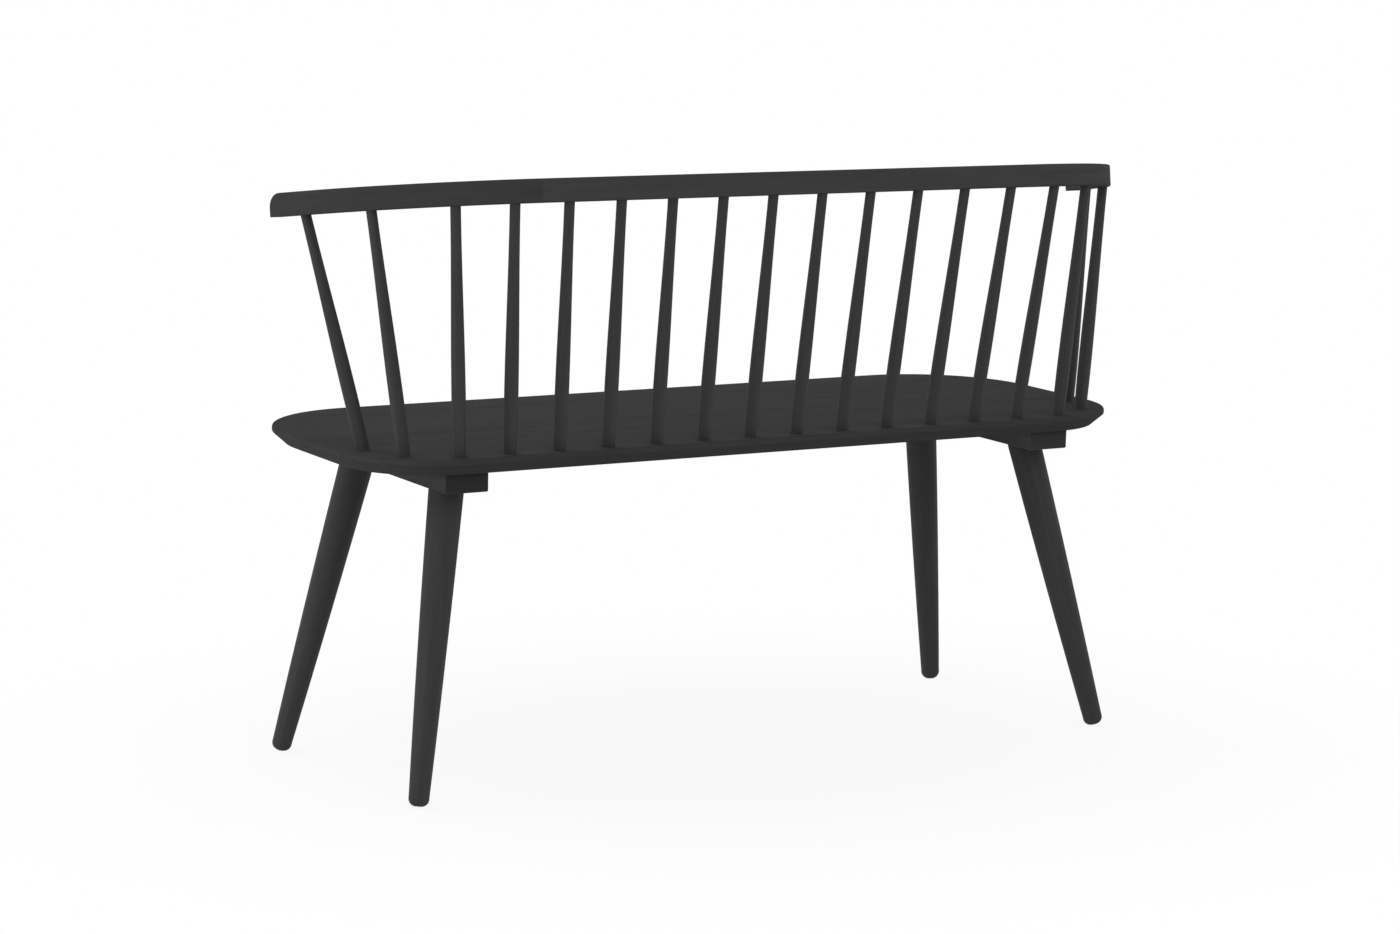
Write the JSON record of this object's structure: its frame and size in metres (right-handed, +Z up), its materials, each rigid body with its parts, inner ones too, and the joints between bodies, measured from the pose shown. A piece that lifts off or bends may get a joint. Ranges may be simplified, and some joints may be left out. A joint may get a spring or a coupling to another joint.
{
  "type": "spindle-back dining bench",
  "caption": "Painted wooden dining bench: a flat rounded seat on splayed turned legs, with a low spindle back whose bent top rail wraps round into short arms.",
  "frame": {"origin": "on the floor, under the middle of the bench's box", "axes": "+X along the bench to the sitter's left, +Y to the back of the bench, +Z up"},
  "size_m": [1.2626, 0.4932, 0.7888],
  "materials": {
    "painted_wood": "matte black paint over fine wood grain",
    "dowel_wood": "bare beech, hidden",
    "zinc_steel": "zinc plated"
  },
  "bodies": {
    "root": {"bearer_screws": "zinc_steel", "cross_bearer_left": "painted_wood", "cross_bearer_right": "painted_wood", "leg_back_left": "painted_wood", "leg_back_right": "painted_wood", "leg_bolts": "zinc_steel", "leg_front_left": "painted_wood", "leg_front_right": "painted_wood", "leg_sleeves": "zinc_steel", "rail_arm_left": "painted_wood", "rail_arm_right": "painted_wood", "rail_dowels": "dowel_wood", "rail_middle": "painted_wood", "seat_plank": "painted_wood", "spindle_01": "painted_wood", "spindle_02": "painted_wood", "spindle_03": "painted_wood", "spindle_04": "painted_wood", "spindle_05": "painted_wood", "spindle_06": "painted_wood", "spindle_07": "painted_wood", "spindle_08": "painted_wood", "spindle_09": "painted_wood", "spindle_10": "painted_wood", "spindle_11": "painted_wood", "spindle_12": "painted_wood", "spindle_13": "painted_wood", "spindle_14": "painted_wood", "spindle_15": "painted_wood", "spindle_16": "painted_wood", "spindle_17": "painted_wood", "spindle_18": "painted_wood"}
  },
  "joints": []
}
